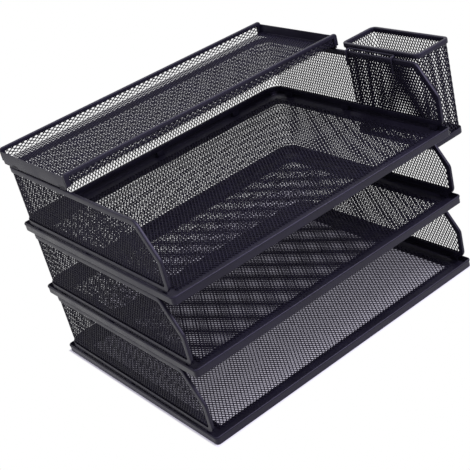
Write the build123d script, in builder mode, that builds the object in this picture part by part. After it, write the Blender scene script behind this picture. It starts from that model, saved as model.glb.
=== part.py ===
"""Tiered mail organizer: three stacked mesh trays, a top shelf and a hanging pen cup.

Millimetres, +Z up, +X to the right and +Y to the back. The origin is the middle of the
bottom tray's underside. The trays are open at the front, and each is a base frame with a
mesh floor and mesh walls whose edges sit in channel rails.
"""

from build123d import *

import os
from math import hypot

os.makedirs("parts", exist_ok=True)

# Trays
tray_width = 320.0
tray_depth = 247.0
tier_pitch = 70.0
tier_names = ("bottom", "middle", "top")

# Folded steel, the clearance of what slots together, and the overrun of a cut
sheet = 1.0
fit_gap = 0.2
overrun = 5.0

# Expanded mesh, drawn coarser than the real one: diamond length, height and strand
mesh_long = 44.0
mesh_short = 38.0
mesh_strand = 3.2
fine_long = 36.0
fine_short = 20.0
fine_strand = 2.0

# Base frame: an upright band with a wide flange inside that carries the floor mesh
base_height = 8.0
base_band = 1.5
base_corner = 4.0
base_flange = 17.4
flange_lift = 1.8
floor_seat = 5.0

# Walls: mesh in channel rails, slanted at the front and rounded at the rear corners
wall_inset = 2.0
wall_rise = 8.2
wall_corner = 14.0
front_setback = 5.0
front_height = 38.0
slant_run = 22.5
rail_width = 2.8
rail_height = 5.0
rail_web = 1.8
rail_bend = 8.0

# Foot tabs that stand the rails on the flange, against the band
foot_tab = 8.0
side_foot_shares = (-0.425, 0.05, 0.4)
back_foot_shares = (-0.31, 0.0, 0.31)

# Stacking tabs: shoulders that carry the next tier, with tongues in pockets of the rails.
stack_gap = 3.8
stack_tab = 10.0
tongue = 6.0
tongue_depth = 1.0
front_tab_share = -0.34
shelf_tab_front_inset = 10.0
shelf_tab_rear_inset = 23.5

# Top shelf over the rear half of the top tray
shelf_depth = 119.5
lip_lift = 4.5
lip_height = 12.0
lip_rim_width = 3.0
lip_rim_height = 3.8
lip_rim_end = 4.5
lip_rim_web = 1.4
lip_rim_corner = 3.0
end_band_lift = 4.0
end_band_height = 9.6
end_band_foot = 8.0

# Pen cup that hangs outside the right wall of the top tray
cup_gap = 0.4
cup_width = 42.0
cup_length = 98.0
cup_height = 96.0
cup_rise = 5.0
cup_front_share = -0.38
cup_corner = 5.0
cup_ledge = 1.5
cup_base_height = 6.0
cup_base_flange = 7.0
cup_rim_leaf = 1.0
cup_rim_height = 4.5
cup_mesh_margin = 5.0

# Bent wire hanger of the cup
wire = 2.0
wire_sides = 8
wire_bend = 2.4
wire_gap = 0.5
hook_drop = 13.5
hook_shares = (0.265, 0.878)

# Worked-out places
coarse_cell = (mesh_long, mesh_short, mesh_strand)
fine_cell = (fine_long, fine_short, fine_strand)
slot_width = sheet + 2 * fit_gap
flange_top = flange_lift + sheet
wall_top = tier_pitch + flange_lift - stack_gap
rail_face = tray_width / 2 - wall_inset
rail_middle = rail_face - rail_width / 2
rail_inner_face = rail_face - rail_width
back_face = tray_depth / 2 - wall_inset
back_middle = back_face - rail_width / 2
seam_place = back_face - wall_corner
front_edge = -tray_depth / 2 + front_setback
slope = slant_run / (wall_top - front_height)
stack_top = (len(tier_names) - 1) * tier_pitch + wall_top
shelf_width = 2 * rail_middle + sheet
shelf_rear = tray_depth / 2
shelf_front = shelf_rear - shelf_depth
shelf_middle = (shelf_front + shelf_rear) / 2
shelf_tab_places = (shelf_front + shelf_tab_front_inset, shelf_rear - shelf_tab_rear_inset)
tray_tab_places = (front_tab_share * tray_depth, *shelf_tab_places)
lip_low = stack_top + lip_lift
end_band_low = stack_top + end_band_lift
cup_left = tray_width / 2 + cup_gap + cup_ledge
cup_front = cup_front_share * tray_depth
cup_middle = (cup_left + cup_width / 2, cup_front + cup_length / 2)
cup_top = stack_top + cup_rise
cup_bottom = cup_top - cup_height


def save(part, label):
    """Name a finished piece and write it to its own file."""
    part.label = label
    export_step(part, f"parts/{label}.step")


def front_limit(rise):
    """How far forward the opening of a side rail reaches, at a height in its tray."""
    slanted = rail_height * hypot(1, slope) + (rise - front_height) * slope
    return front_edge + max(rail_height, slanted)


def mesh_openings(field, middle=(0, 0), cell=coarse_cell, mode=Mode.SUBTRACT, fits=None):
    """Draw staggered diamonds over a field, leaving even strands between them."""
    long, short, strand = cell
    columns = max(1, round(field[0] / long))
    rows = max(1, round(2 * field[1] / short) - 1)
    half_long = field[0] / columns / 2
    half_short = field[1] / (rows + 1)
    share = 1 - strand * hypot(half_long, half_short) / (2 * half_long * half_short)
    corners = [(half_long, 0), (0, half_short), (-half_long, 0), (0, -half_short)]
    centres = []
    for row in range(rows):
        for column in range(columns - row % 2):
            across = middle[0] - field[0] / 2 + (2 * column + 1 + row % 2) * half_long
            along = middle[1] - field[1] / 2 + (row + 1) * half_short
            if fits is None or fits(across, along, half_long, half_short):
                centres.append((across, along))
    with Locations(*centres):
        Polygon(*[(share * x, share * y) for x, y in corners], mode=mode)


def base_frame(level, has_tabs):
    """Base of one tray: a band and flange ring, with stacking tabs if it stands on a tray."""
    with BuildPart() as frame:
        with BuildSketch(Plane.XY.offset(level + flange_lift)):
            RectangleRounded(tray_width, tray_depth, base_corner)
            Rectangle(
                tray_width - 2 * base_flange, tray_depth - 2 * base_flange, mode=Mode.SUBTRACT
            )
        extrude(amount=sheet)
        with BuildSketch(Plane.XY.offset(level)):
            RectangleRounded(tray_width, tray_depth, base_corner)
            RectangleRounded(
                tray_width - 2 * base_band,
                tray_depth - 2 * base_band,
                base_corner - base_band,
                mode=Mode.SUBTRACT,
            )
        extrude(amount=base_height)
        if has_tabs:
            spots = [(x, y) for x in (-rail_middle, rail_middle) for y in tray_tab_places]
            with BuildSketch(Plane.XY.offset(level + flange_lift)):
                with Locations(*spots):
                    Rectangle(sheet, stack_tab)
            extrude(amount=-stack_gap)
            with BuildSketch(Plane.XY.offset(level + flange_lift - stack_gap)):
                with Locations(*spots):
                    Rectangle(sheet, tongue)
            extrude(amount=-tongue_depth)
    return frame.part


def floor_mesh(level):
    """Flat mesh floor of one tray, its edges seated on the flange of the base."""
    margin = base_flange - floor_seat
    with BuildPart() as floor:
        with BuildSketch(Plane.XY.offset(level + flange_top)):
            Rectangle(tray_width - 2 * margin, tray_depth - 2 * margin)
            mesh_openings((tray_width - 2 * base_flange, tray_depth - 2 * base_flange))
        extrude(amount=sheet)
    return floor.part


def side_outline(level, drawn_in):
    """Outline of a side panel in Y and Z, drawn in from the outer edge of its rail."""
    low = level + wall_rise
    high = level + wall_top
    rear = seam_place + 2 * wall_corner
    with BuildSketch() as outline:
        with BuildLine():
            Polyline(
                (rear, low),
                (front_edge, low),
                (front_edge, level + front_height),
                (front_edge + slant_run, high),
                (rear, high),
                close=True,
            )
        make_face()
        fillet(outline.vertices().sort_by(Axis.X)[:3], rail_bend)
        if drawn_in:
            offset(amount=-drawn_in, mode=Mode.REPLACE)
        with Locations((rear, (low + high) / 2)):
            Rectangle(4 * wall_corner, 2 * tier_pitch, mode=Mode.SUBTRACT)
    return outline.sketch


def side_rim(level, side):
    """Channel rail round a side panel, with foot tabs below and tongue pockets on top."""
    foot_reach = wall_inset + rail_width - base_band
    with BuildPart() as rim:
        with BuildSketch(Plane.YZ.offset(side * rail_face)):
            add(side_outline(level, 0))
            add(side_outline(level, rail_height), mode=Mode.SUBTRACT)
        extrude(amount=-side * rail_width)
        with BuildSketch(Plane.YZ.offset(side * rail_middle)):
            add(side_outline(level, rail_web))
        extrude(amount=slot_width / 2, both=True, mode=Mode.SUBTRACT)
        with BuildSketch(Plane.XY.offset(level + flange_top)):
            place = side * (rail_inner_face + foot_reach / 2)
            with Locations(*[(place, share * tray_depth) for share in side_foot_shares]):
                Rectangle(foot_reach, foot_tab)
        extrude(amount=wall_rise - flange_top)
        with BuildSketch(Plane.XY.offset(level + wall_top)):
            with Locations(*[(side * rail_middle, place) for place in tray_tab_places]):
                Rectangle(slot_width, tongue + 2 * fit_gap)
        extrude(amount=-(tongue_depth + fit_gap), mode=Mode.SUBTRACT)
    return rim.part


def side_mesh(level, side):
    """Mesh sheet of a side wall, seated in the channel of its rail."""
    low = wall_rise + rail_height
    high = wall_top - rail_height
    first = front_edge + rail_height

    def clears_slant(across, along, half_long, half_short):
        rise = along - level
        reaches_front = across - half_long >= front_limit(rise)
        return reaches_front and across >= front_limit(rise + half_short)

    with BuildPart() as panel:
        with BuildSketch(Plane.YZ.offset(side * rail_middle)):
            add(side_outline(level, rail_web + fit_gap))
            middle = ((first + seam_place) / 2, level + (low + high) / 2)
            mesh_openings((seam_place - first, high - low), middle, fits=clears_slant)
        extrude(amount=sheet / 2, both=True)
    return panel.part


def rear_ring(drawn_in, thickness):
    """Plan of a strip along the back and round both rear corners, up to the seams."""
    width = 2 * (rail_face - drawn_in)
    depth = 2 * (back_face - drawn_in)
    corner = wall_corner - drawn_in
    with BuildSketch() as ring:
        RectangleRounded(width, depth, corner)
        RectangleRounded(
            width - 2 * thickness,
            depth - 2 * thickness,
            corner - thickness,
            mode=Mode.SUBTRACT,
        )
        with Locations((0, seam_place - tray_depth)):
            Rectangle(2 * tray_width, 2 * tray_depth, mode=Mode.SUBTRACT)
    return ring.sketch


def back_rail(low, slot_low):
    """Channel rail along the back, bent round both rear corners."""
    with BuildPart() as rail:
        with BuildSketch(Plane.XY.offset(low)):
            add(rear_ring(0, rail_width))
        extrude(amount=rail_height)
        with BuildSketch(Plane.XY.offset(slot_low)):
            add(rear_ring((rail_width - slot_width) / 2, slot_width))
        extrude(amount=rail_height - rail_web, mode=Mode.SUBTRACT)
    return rail.part


def back_bottom_rail(level):
    """Lower back rail, on foot tabs that stand on the flange."""
    foot_reach = wall_inset + rail_width - base_band
    with BuildPart() as rail:
        add(back_rail(level + wall_rise, level + wall_rise + rail_web))
        with BuildSketch(Plane.XY.offset(level + flange_top)):
            place = back_face - rail_width + foot_reach / 2
            with Locations(*[(share * tray_width, place) for share in back_foot_shares]):
                Rectangle(foot_tab, foot_reach)
        extrude(amount=wall_rise - flange_top)
    return rail.part


def back_mesh(level):
    """Mesh sheet of the back wall, bent round both rear corners to the side seams."""
    low = level + wall_rise
    high = level + wall_top
    seat = rail_web + fit_gap
    field = (2 * (rail_face - wall_corner), high - low - 2 * rail_height)
    with BuildPart() as panel:
        with BuildSketch(Plane.XY.offset(low + seat)):
            add(rear_ring((rail_width - sheet) / 2, sheet))
        extrude(amount=high - low - 2 * seat)
        with BuildSketch(Plane.XZ.offset(-back_middle)):
            mesh_openings(field, (0, (low + high) / 2), mode=Mode.ADD)
        extrude(amount=overrun, both=True, mode=Mode.SUBTRACT)
    return panel.part


def lip_outline(low, width, height, corner):
    """Upright outline of a shelf lip, standing on a low edge, with rounded top corners."""
    with BuildSketch() as outline:
        with Locations((0, low + height / 2)):
            Rectangle(width, height)
        if corner:
            fillet(outline.vertices().sort_by(Axis.Y)[-2:], corner)
    return outline.sketch


def lip_rim(front):
    """Channel rim over the top and both ends of a shelf lip."""
    inner_width = shelf_width - 2 * lip_rim_end
    slot_size = (shelf_width - 2 * lip_rim_web, lip_height - lip_rim_web)
    with BuildPart() as rim:
        with BuildSketch(Plane.XZ.offset(-front)):
            add(lip_outline(lip_low, shelf_width, lip_height, lip_rim_corner))
            add(
                lip_outline(lip_low, inner_width, lip_height - lip_rim_height, 0),
                mode=Mode.SUBTRACT,
            )
        extrude(amount=-lip_rim_width)
        with BuildSketch(Plane.XZ.offset(-front - lip_rim_width / 2)):
            add(lip_outline(lip_low, *slot_size, 0))
        extrude(amount=slot_width / 2, both=True, mode=Mode.SUBTRACT)
    return rim.part


def lip_mesh(front):
    """Upright mesh strip of a shelf lip, seated in its rim."""
    seat = lip_rim_web + fit_gap
    field = (shelf_width - 2 * lip_rim_end, lip_height - lip_rim_height)
    with BuildPart() as strip:
        with BuildSketch(Plane.XZ.offset(-front - lip_rim_width / 2)):
            add(lip_outline(lip_low, shelf_width - 2 * seat, lip_height - seat, 0))
            mesh_openings(field, (0, lip_low + field[1] / 2), cell=fine_cell)
        extrude(amount=sheet / 2, both=True)
    return strip.part


def shelf_floor():
    """Flat mesh floor of the shelf, between the lips and on the feet of the end bands."""
    length = shelf_depth - 2 * lip_rim_width
    reach = shelf_depth - lip_rim_width - sheet
    with BuildPart() as floor:
        with BuildSketch(Plane.XY.offset(end_band_low + sheet)):
            with Locations((0, shelf_middle)):
                Rectangle(shelf_width - 2 * (sheet + fit_gap), length)
                Rectangle(shelf_width - 2 * (lip_rim_end + fit_gap), reach)
            field = (shelf_width - 2 * end_band_foot, length)
            mesh_openings(field, (0, shelf_middle))
        extrude(amount=sheet)
    return floor.part


def end_band(side):
    """Plain upright band at one end of the shelf, with a foot inside and stacking tabs."""
    length = shelf_depth - 2 * lip_rim_width
    web_place = side * rail_middle
    spots = [(web_place, place) for place in shelf_tab_places]
    with BuildPart() as band:
        with BuildSketch(Plane.XY.offset(end_band_low)):
            with Locations((web_place, shelf_middle)):
                Rectangle(sheet, length)
        extrude(amount=end_band_height)
        with BuildSketch(Plane.XY.offset(end_band_low)):
            with Locations((side * (shelf_width - end_band_foot) / 2, shelf_middle)):
                Rectangle(end_band_foot, length)
        extrude(amount=sheet)
        with BuildSketch(Plane.XY.offset(end_band_low)):
            with Locations(*spots):
                Rectangle(sheet, stack_tab)
        extrude(amount=-end_band_lift)
        with BuildSketch(Plane.XY.offset(stack_top)):
            with Locations(*spots):
                Rectangle(sheet, tongue)
        extrude(amount=-tongue_depth)
    return band.part


def cup_ring(drawn_in, thickness):
    """Plan of a ring that follows the cup's wall, drawn in from the wall's outer face."""
    with BuildSketch() as ring:
        with Locations(cup_middle):
            RectangleRounded(
                cup_width - 2 * drawn_in, cup_length - 2 * drawn_in, cup_corner - drawn_in
            )
            inner = drawn_in + thickness
            RectangleRounded(
                cup_width - 2 * inner,
                cup_length - 2 * inner,
                max(cup_corner - inner, sheet),
                mode=Mode.SUBTRACT,
            )
    return ring.sketch


for tier, tier_name in enumerate(tier_names):
    floor_level = tier * tier_pitch
    save(base_frame(floor_level, has_tabs=tier > 0), f"{tier_name}_base_frame")
    save(floor_mesh(floor_level), f"{tier_name}_floor_mesh")
    for side, side_name in ((-1, "left"), (1, "right")):
        save(side_rim(floor_level, side), f"{tier_name}_{side_name}_rim")
        save(side_mesh(floor_level, side), f"{tier_name}_{side_name}_mesh")
    top_low = floor_level + wall_top - rail_height
    save(back_rail(top_low, top_low), f"{tier_name}_back_top_rail")
    save(back_bottom_rail(floor_level), f"{tier_name}_back_bottom_rail")
    save(back_mesh(floor_level), f"{tier_name}_back_mesh")

save(shelf_floor(), "shelf_floor_mesh")
for lip_name, lip_front in (("front", shelf_front), ("rear", shelf_rear - lip_rim_width)):
    save(lip_rim(lip_front), f"shelf_{lip_name}_lip_rim")
    save(lip_mesh(lip_front), f"shelf_{lip_name}_lip_mesh")
for side, side_name in ((-1, "left"), (1, "right")):
    save(end_band(side), f"shelf_{side_name}_end_band")

with BuildPart() as cup_wall:
    wall_low = cup_bottom + sheet
    wall_high = cup_top - cup_rim_leaf - fit_gap
    mesh_low = cup_bottom + cup_base_height
    mesh_high = cup_top - cup_rim_height
    mesh_level = (mesh_low + mesh_high) / 2
    with BuildSketch(Plane.XY.offset(wall_low)):
        add(cup_ring(0, sheet))
    extrude(amount=wall_high - wall_low)
    with BuildSketch(Plane.YZ.offset(cup_middle[0])):
        long_field = (cup_length - 2 * cup_mesh_margin, mesh_high - mesh_low)
        mesh_openings(long_field, (cup_middle[1], mesh_level), fine_cell, Mode.ADD)
    extrude(amount=cup_width, both=True, mode=Mode.SUBTRACT)
    with BuildSketch(Plane.XZ.offset(-cup_middle[1])):
        short_field = (cup_width - 2 * cup_mesh_margin, mesh_high - mesh_low)
        mesh_openings(short_field, (cup_middle[0], mesh_level), fine_cell, Mode.ADD)
    extrude(amount=cup_length, both=True, mode=Mode.SUBTRACT)
save(cup_wall.part, "cup_wall_mesh")

with BuildPart() as cup_rim:
    with BuildSketch(Plane.XY.offset(cup_top - cup_rim_height)):
        add(cup_ring(-(fit_gap + cup_rim_leaf), slot_width + 2 * cup_rim_leaf))
    extrude(amount=cup_rim_height)
    with BuildSketch(Plane.XY.offset(cup_top - cup_rim_height)):
        add(cup_ring(-fit_gap, slot_width))
    extrude(amount=cup_rim_height - cup_rim_leaf, mode=Mode.SUBTRACT)
save(cup_rim.part, "cup_rim")

with BuildPart() as cup_base:
    with BuildSketch(Plane.XY.offset(cup_bottom)):
        add(cup_ring(-cup_ledge, cup_base_flange))
    extrude(amount=sheet)
    with BuildSketch(Plane.XY.offset(cup_bottom)):
        add(cup_ring(-cup_ledge, sheet))
    extrude(amount=cup_base_height)
save(cup_base.part, "cup_base_frame")

with BuildPart() as cup_floor:
    floor_margin = sheet + fit_gap
    open_margin = cup_base_flange - cup_ledge
    with BuildSketch(Plane.XY.offset(cup_bottom + sheet)):
        with Locations(cup_middle):
            RectangleRounded(
                cup_width - 2 * floor_margin,
                cup_length - 2 * floor_margin,
                cup_corner - floor_margin,
            )
        open_field = (cup_width - 2 * open_margin, cup_length - 2 * open_margin)
        mesh_openings(open_field, cup_middle, fine_cell)
    extrude(amount=sheet)
save(cup_floor.part, "cup_floor_mesh")

with BuildPart() as cup_hanger:
    hook_inside = rail_inner_face - wire_gap - wire / 2
    hook_outside = cup_left - fit_gap - cup_rim_leaf - fit_gap - wire / 2
    hook_level = stack_top + wire_gap + wire / 2
    hook_end = stack_top - hook_drop
    hook_front, hook_rear = [cup_front + share * cup_length for share in hook_shares]
    with BuildLine() as route:
        FilletPolyline(
            (hook_inside, hook_front, hook_end),
            (hook_inside, hook_front, hook_level),
            (hook_outside, hook_front, hook_level),
            (hook_outside, hook_rear, hook_level),
            (hook_inside, hook_rear, hook_level),
            (hook_inside, hook_rear, hook_end),
            radius=wire_bend,
        )
    with BuildSketch(Plane(origin=route.line @ 0, z_dir=route.line % 0)):
        RegularPolygon(wire / 2, wire_sides)
    sweep()
save(cup_hanger.part, "cup_hanger")
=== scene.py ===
"""Looks of a tiered mail organizer: three stacked mesh trays, a lipped shelf and a pen cup.

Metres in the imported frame: +X runs along the trays, -Y is the open front and +Z is up. The folded
steel pieces are lofted round their real outlines, and every mesh sheet is drawn strand by strand
at its real pitch.
"""

import logging
import math
from dataclasses import dataclass, field
from enum import Enum
from typing import Callable

import bmesh
import bpy
import numpy as np
from mathutils import Matrix, Vector


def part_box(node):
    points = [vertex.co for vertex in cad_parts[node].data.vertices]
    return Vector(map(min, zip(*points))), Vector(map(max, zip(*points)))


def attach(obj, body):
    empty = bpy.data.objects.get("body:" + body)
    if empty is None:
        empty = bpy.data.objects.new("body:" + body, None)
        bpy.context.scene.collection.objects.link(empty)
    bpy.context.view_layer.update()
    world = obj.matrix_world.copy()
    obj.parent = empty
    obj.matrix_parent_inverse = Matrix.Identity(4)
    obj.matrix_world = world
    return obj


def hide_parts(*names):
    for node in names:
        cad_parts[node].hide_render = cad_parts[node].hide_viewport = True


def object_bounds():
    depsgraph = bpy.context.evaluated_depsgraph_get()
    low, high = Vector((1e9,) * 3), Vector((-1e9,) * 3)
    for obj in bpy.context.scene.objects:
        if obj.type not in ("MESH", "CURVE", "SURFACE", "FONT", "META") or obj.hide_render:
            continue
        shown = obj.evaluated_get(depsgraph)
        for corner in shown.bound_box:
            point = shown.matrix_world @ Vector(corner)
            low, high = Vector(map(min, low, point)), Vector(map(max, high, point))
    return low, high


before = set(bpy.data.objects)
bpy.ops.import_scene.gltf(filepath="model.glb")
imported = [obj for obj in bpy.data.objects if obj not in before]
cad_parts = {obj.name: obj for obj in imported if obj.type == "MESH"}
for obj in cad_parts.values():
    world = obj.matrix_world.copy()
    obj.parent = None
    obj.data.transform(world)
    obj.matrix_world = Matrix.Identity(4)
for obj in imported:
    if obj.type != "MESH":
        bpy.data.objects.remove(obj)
CAD_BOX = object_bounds()

LOG = logging.getLogger("mail_organizer")
MM = 0.001
# Points closer than the first are one, and a fold sharper than the second shows as an edge.
SAME_POINT = 1e-7
SHARP_FOLD = math.radians(32)
# Spans of a section's rounded corner, of a bend in a rail or wire, and of a tab's softened edge.
CORNER_SPANS = 3
BEND_SPANS = 8
TAB_SPANS = 2
# The four quarters round a middle, counter-clockwise.
QUARTERS = ((1, 1), (-1, 1), (-1, -1), (1, -1))
# More columns and rows than any mesh sheet has, and the diamonds tried past a sheet's edge.
COLUMN_KEYS = 1 << 20
ROW_KEYS = 1 << 12
SPARE_DIAMONDS = 2

Place = Callable[[np.ndarray, np.ndarray], tuple[np.ndarray, np.ndarray]]
Inside = Callable[[np.ndarray, np.ndarray], np.ndarray]


class Body(Enum):
    """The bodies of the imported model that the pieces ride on."""

    BOTTOM = "bottom_tray"
    MIDDLE = "middle_tray"
    TOP = "top_tray"
    SHELF = "shelf"
    CUP = "pen_cup"


class Slot(Enum):
    """The record's material slots."""

    STEEL = "coated_steel"
    MESH = "coated_mesh"
    WIRE = "coated_wire"


def linear(colour: str) -> tuple[float, float, float, float]:
    """Turn an sRGB hex colour into a linear one.

    Args:
        colour: six hex digits after a hash.

    Returns:
        Linear red, green, blue and an alpha of one.
    """
    parts = [int(colour[place:place + 2], 16) / 255 for place in (1, 3, 5)]
    red, green, blue = [
        part / 12.92 if part <= 0.04045 else ((part + 0.055) / 1.055) ** 2.4 for part in parts
    ]
    return red, green, blue, 1.0


def add_node(tree: bpy.types.NodeTree, kind: str, settings: dict[str, object] | None = None,
             feeds: tuple = (), **sockets: object) -> bpy.types.Node:
    """Add one shader node, set its options and feed its sockets.

    Args:
        tree: the node tree.
        kind: the node's type name.
        settings: options of the node itself.
        feeds: values or links for its first sockets, in their order.
        sockets: values or links by socket name, with _ for a space.

    Returns:
        The new node.
    """
    node = tree.nodes.new(kind)
    for name, value in (settings or {}).items():
        setattr(node, name, value)
    named = [(node.inputs[name.replace("_", " ")], value) for name, value in sockets.items()]
    for socket, value in list(zip(node.inputs, feeds)) + named:
        if isinstance(value, bpy.types.NodeSocket):
            tree.links.new(value, socket)
        else:
            socket.default_value = value
    return node


@dataclass(frozen=True)
class PowderCoat:
    """Black powder coat baked on steel: a satin skin with an orange peel and drifts of gloss."""

    name: str
    deep: str
    worn: str
    smooth: float
    matt: float
    peel: float
    peel_depth: float
    drift: float
    shine: float
    glint: str = "#e8e2ff"
    film_ior: float = 1.48
    peel_strength: float = 0.5
    peel_detail: float = 2.0
    drift_detail: float = 3.0
    tone_span: tuple[float, float] = (0.3, 0.72)
    gloss_span: tuple[float, float] = (0.3, 0.7)

    def material(self) -> bpy.types.Material:
        """Build the finish as a node material, once.

        Returns:
            The material.
        """
        if self.name in bpy.data.materials:
            return bpy.data.materials[self.name]
        material = bpy.data.materials.new(self.name)
        material.use_nodes = True
        tree = material.node_tree
        tree.nodes.clear()
        place = add_node(tree, "ShaderNodeTexCoord").outputs["Object"]
        # The powder melts into shallow bumps under a millimetre wide: they break up the gloss of
        # a flat face.
        grains = add_node(tree, "ShaderNodeTexNoise", Vector=place, Scale=1 / self.peel,
                          Detail=self.peel_detail)
        # A slow drift of film thickness over some centimetres: the sheen is never quite even
        # along a rail.
        drifts = add_node(tree, "ShaderNodeTexNoise", Vector=place, Scale=1 / self.drift,
                          Detail=self.drift_detail)
        tone = add_node(tree, "ShaderNodeValToRGB", Fac=drifts.outputs["Fac"])
        for stop, spot, colour in zip(tone.color_ramp.elements, self.tone_span,
                                      (self.deep, self.worn)):
            stop.position, stop.color = spot, linear(colour)
        gloss = add_node(tree, "ShaderNodeMapRange", Value=drifts.outputs["Fac"],
                         From_Min=self.gloss_span[0], From_Max=self.gloss_span[1],
                         To_Min=self.smooth, To_Max=self.matt)
        skin = add_node(tree, "ShaderNodeBump", Height=grains.outputs["Fac"],
                        Strength=self.peel_strength, Distance=self.peel_depth)
        coat = add_node(tree, "ShaderNodeBsdfPrincipled", Base_Color=tone.outputs["Color"],
                        Roughness=gloss.outputs["Result"], Normal=skin.outputs["Normal"],
                        IOR=self.film_ior, Specular_IOR_Level=self.shine,
                        Specular_Tint=linear(self.glint))
        add_node(tree, "ShaderNodeOutputMaterial", Surface=coat.outputs["BSDF"])
        return material


# Powder sprayed and baked on folded sheet: an even satin black whose folds catch a soft cool line.
FOLDED_STEEL = PowderCoat(
    name="satin_black_powder_coat_on_folded_steel", deep="#16141e", worn="#1c1a27",
    smooth=0.34, matt=0.44, peel=0.9 * MM, peel_depth=0.05 * MM, drift=32 * MM, shine=0.25)
# The same powder on slit and drawn strands: too narrow to mirror a lamp, so they stay dull and
# dark against the light in the holes.
DRAWN_MESH = PowderCoat(
    name="satin_black_powder_coat_on_expanded_mesh", deep="#16141e", worn="#1c1a27",
    smooth=0.36, matt=0.48, peel=0.7 * MM, peel_depth=0.03 * MM, drift=18 * MM, shine=0.11)
# The same powder on round wire: a touch smoother, with one thin light line along the wire.
BENT_WIRE = PowderCoat(
    name="satin_black_powder_coat_on_bent_wire", deep="#16141e", worn="#1e1c2a",
    smooth=0.30, matt=0.40, peel=0.8 * MM, peel_depth=0.03 * MM, drift=12 * MM, shine=0.25)


def set_piece(name: str, mesh: bpy.types.Mesh, body: Body, finish: PowderCoat,
              nodes: list[str]) -> None:
    """Put a finished mesh in the scene, on its body and in place of the solids it stands for.

    Args:
        name: the piece's name.
        mesh: its mesh, in place.
        body: the body that it rides on.
        finish: the coat that it wears.
        nodes: the CAD nodes that it replaces.
    """
    mesh.materials.append(finish.material())
    piece = bpy.data.objects.new(name, mesh)
    bpy.context.scene.collection.objects.link(piece)
    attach(piece, body.value)
    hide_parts(*nodes)
    LOG.info("%s on %s: %d faces, for %s", name, body.value, len(mesh.polygons), ", ".join(nodes))


def bend(before: np.ndarray, corner: np.ndarray, after: np.ndarray, radius: float,
         spans: int) -> list[np.ndarray]:
    """Points of a round bend in place of a sharp corner.

    Args:
        before: a point on the line before the corner.
        corner: the sharp corner.
        after: a point on the line after the corner.
        radius: radius of the bend.
        spans: spans of the bend.

    Returns:
        The bend's points in order.
    """
    back, ahead = [(point - corner) / np.linalg.norm(point - corner) for point in (before, after)]
    half = math.acos(max(-1.0, min(1.0, float(back @ ahead)))) / 2
    between = back + ahead
    centre = corner + between / np.linalg.norm(between) * radius / math.sin(half)
    first, last = [corner + way * radius / math.tan(half) - centre for way in (back, ahead)]
    turn = math.pi - 2 * half
    shares = np.linspace(0, 1, spans + 1)
    return [
        centre + (math.sin((1 - share) * turn) * first + math.sin(share * turn) * last)
        / math.sin(turn) for share in shares
    ]


def soft_section(points: list[tuple[float, float, float]]) -> np.ndarray:
    """Round the corners of a closed section.

    Args:
        points: across, along and corner radius of each corner.

    Returns:
        The section's points, one row each.
    """
    corners = [np.array(point[:2]) for point in points]
    line = []
    for here, (corner, (_, _, radius)) in enumerate(zip(corners, points)):
        if radius <= 0:
            line.append(corner)
            continue
        after = corners[(here + 1) % len(corners)]
        line += bend(corners[here - 1], corner, after, radius, CORNER_SPANS)
    return np.array(line)


def channel_section(half: float, slot: float, web: float, height: float, edge: float,
                    soft: float) -> np.ndarray:
    """Section of a channel that is folded over the edge of a mesh sheet.

    Args:
        half: half its width.
        slot: half the width of the slot that takes the sheet.
        web: thickness of its back.
        height: height of its two leaves.
        edge: radius of the two folds of its back.
        soft: radius of its cut edges.

    Returns:
        The section's points, across and into the channel.
    """
    return soft_section([
        (-half, 0.0, edge), (half, 0.0, edge), (half, height, soft), (slot, height, soft),
        (slot, web, 0.0), (-slot, web, 0.0), (-slot, height, soft), (-half, height, soft),
    ])


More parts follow.
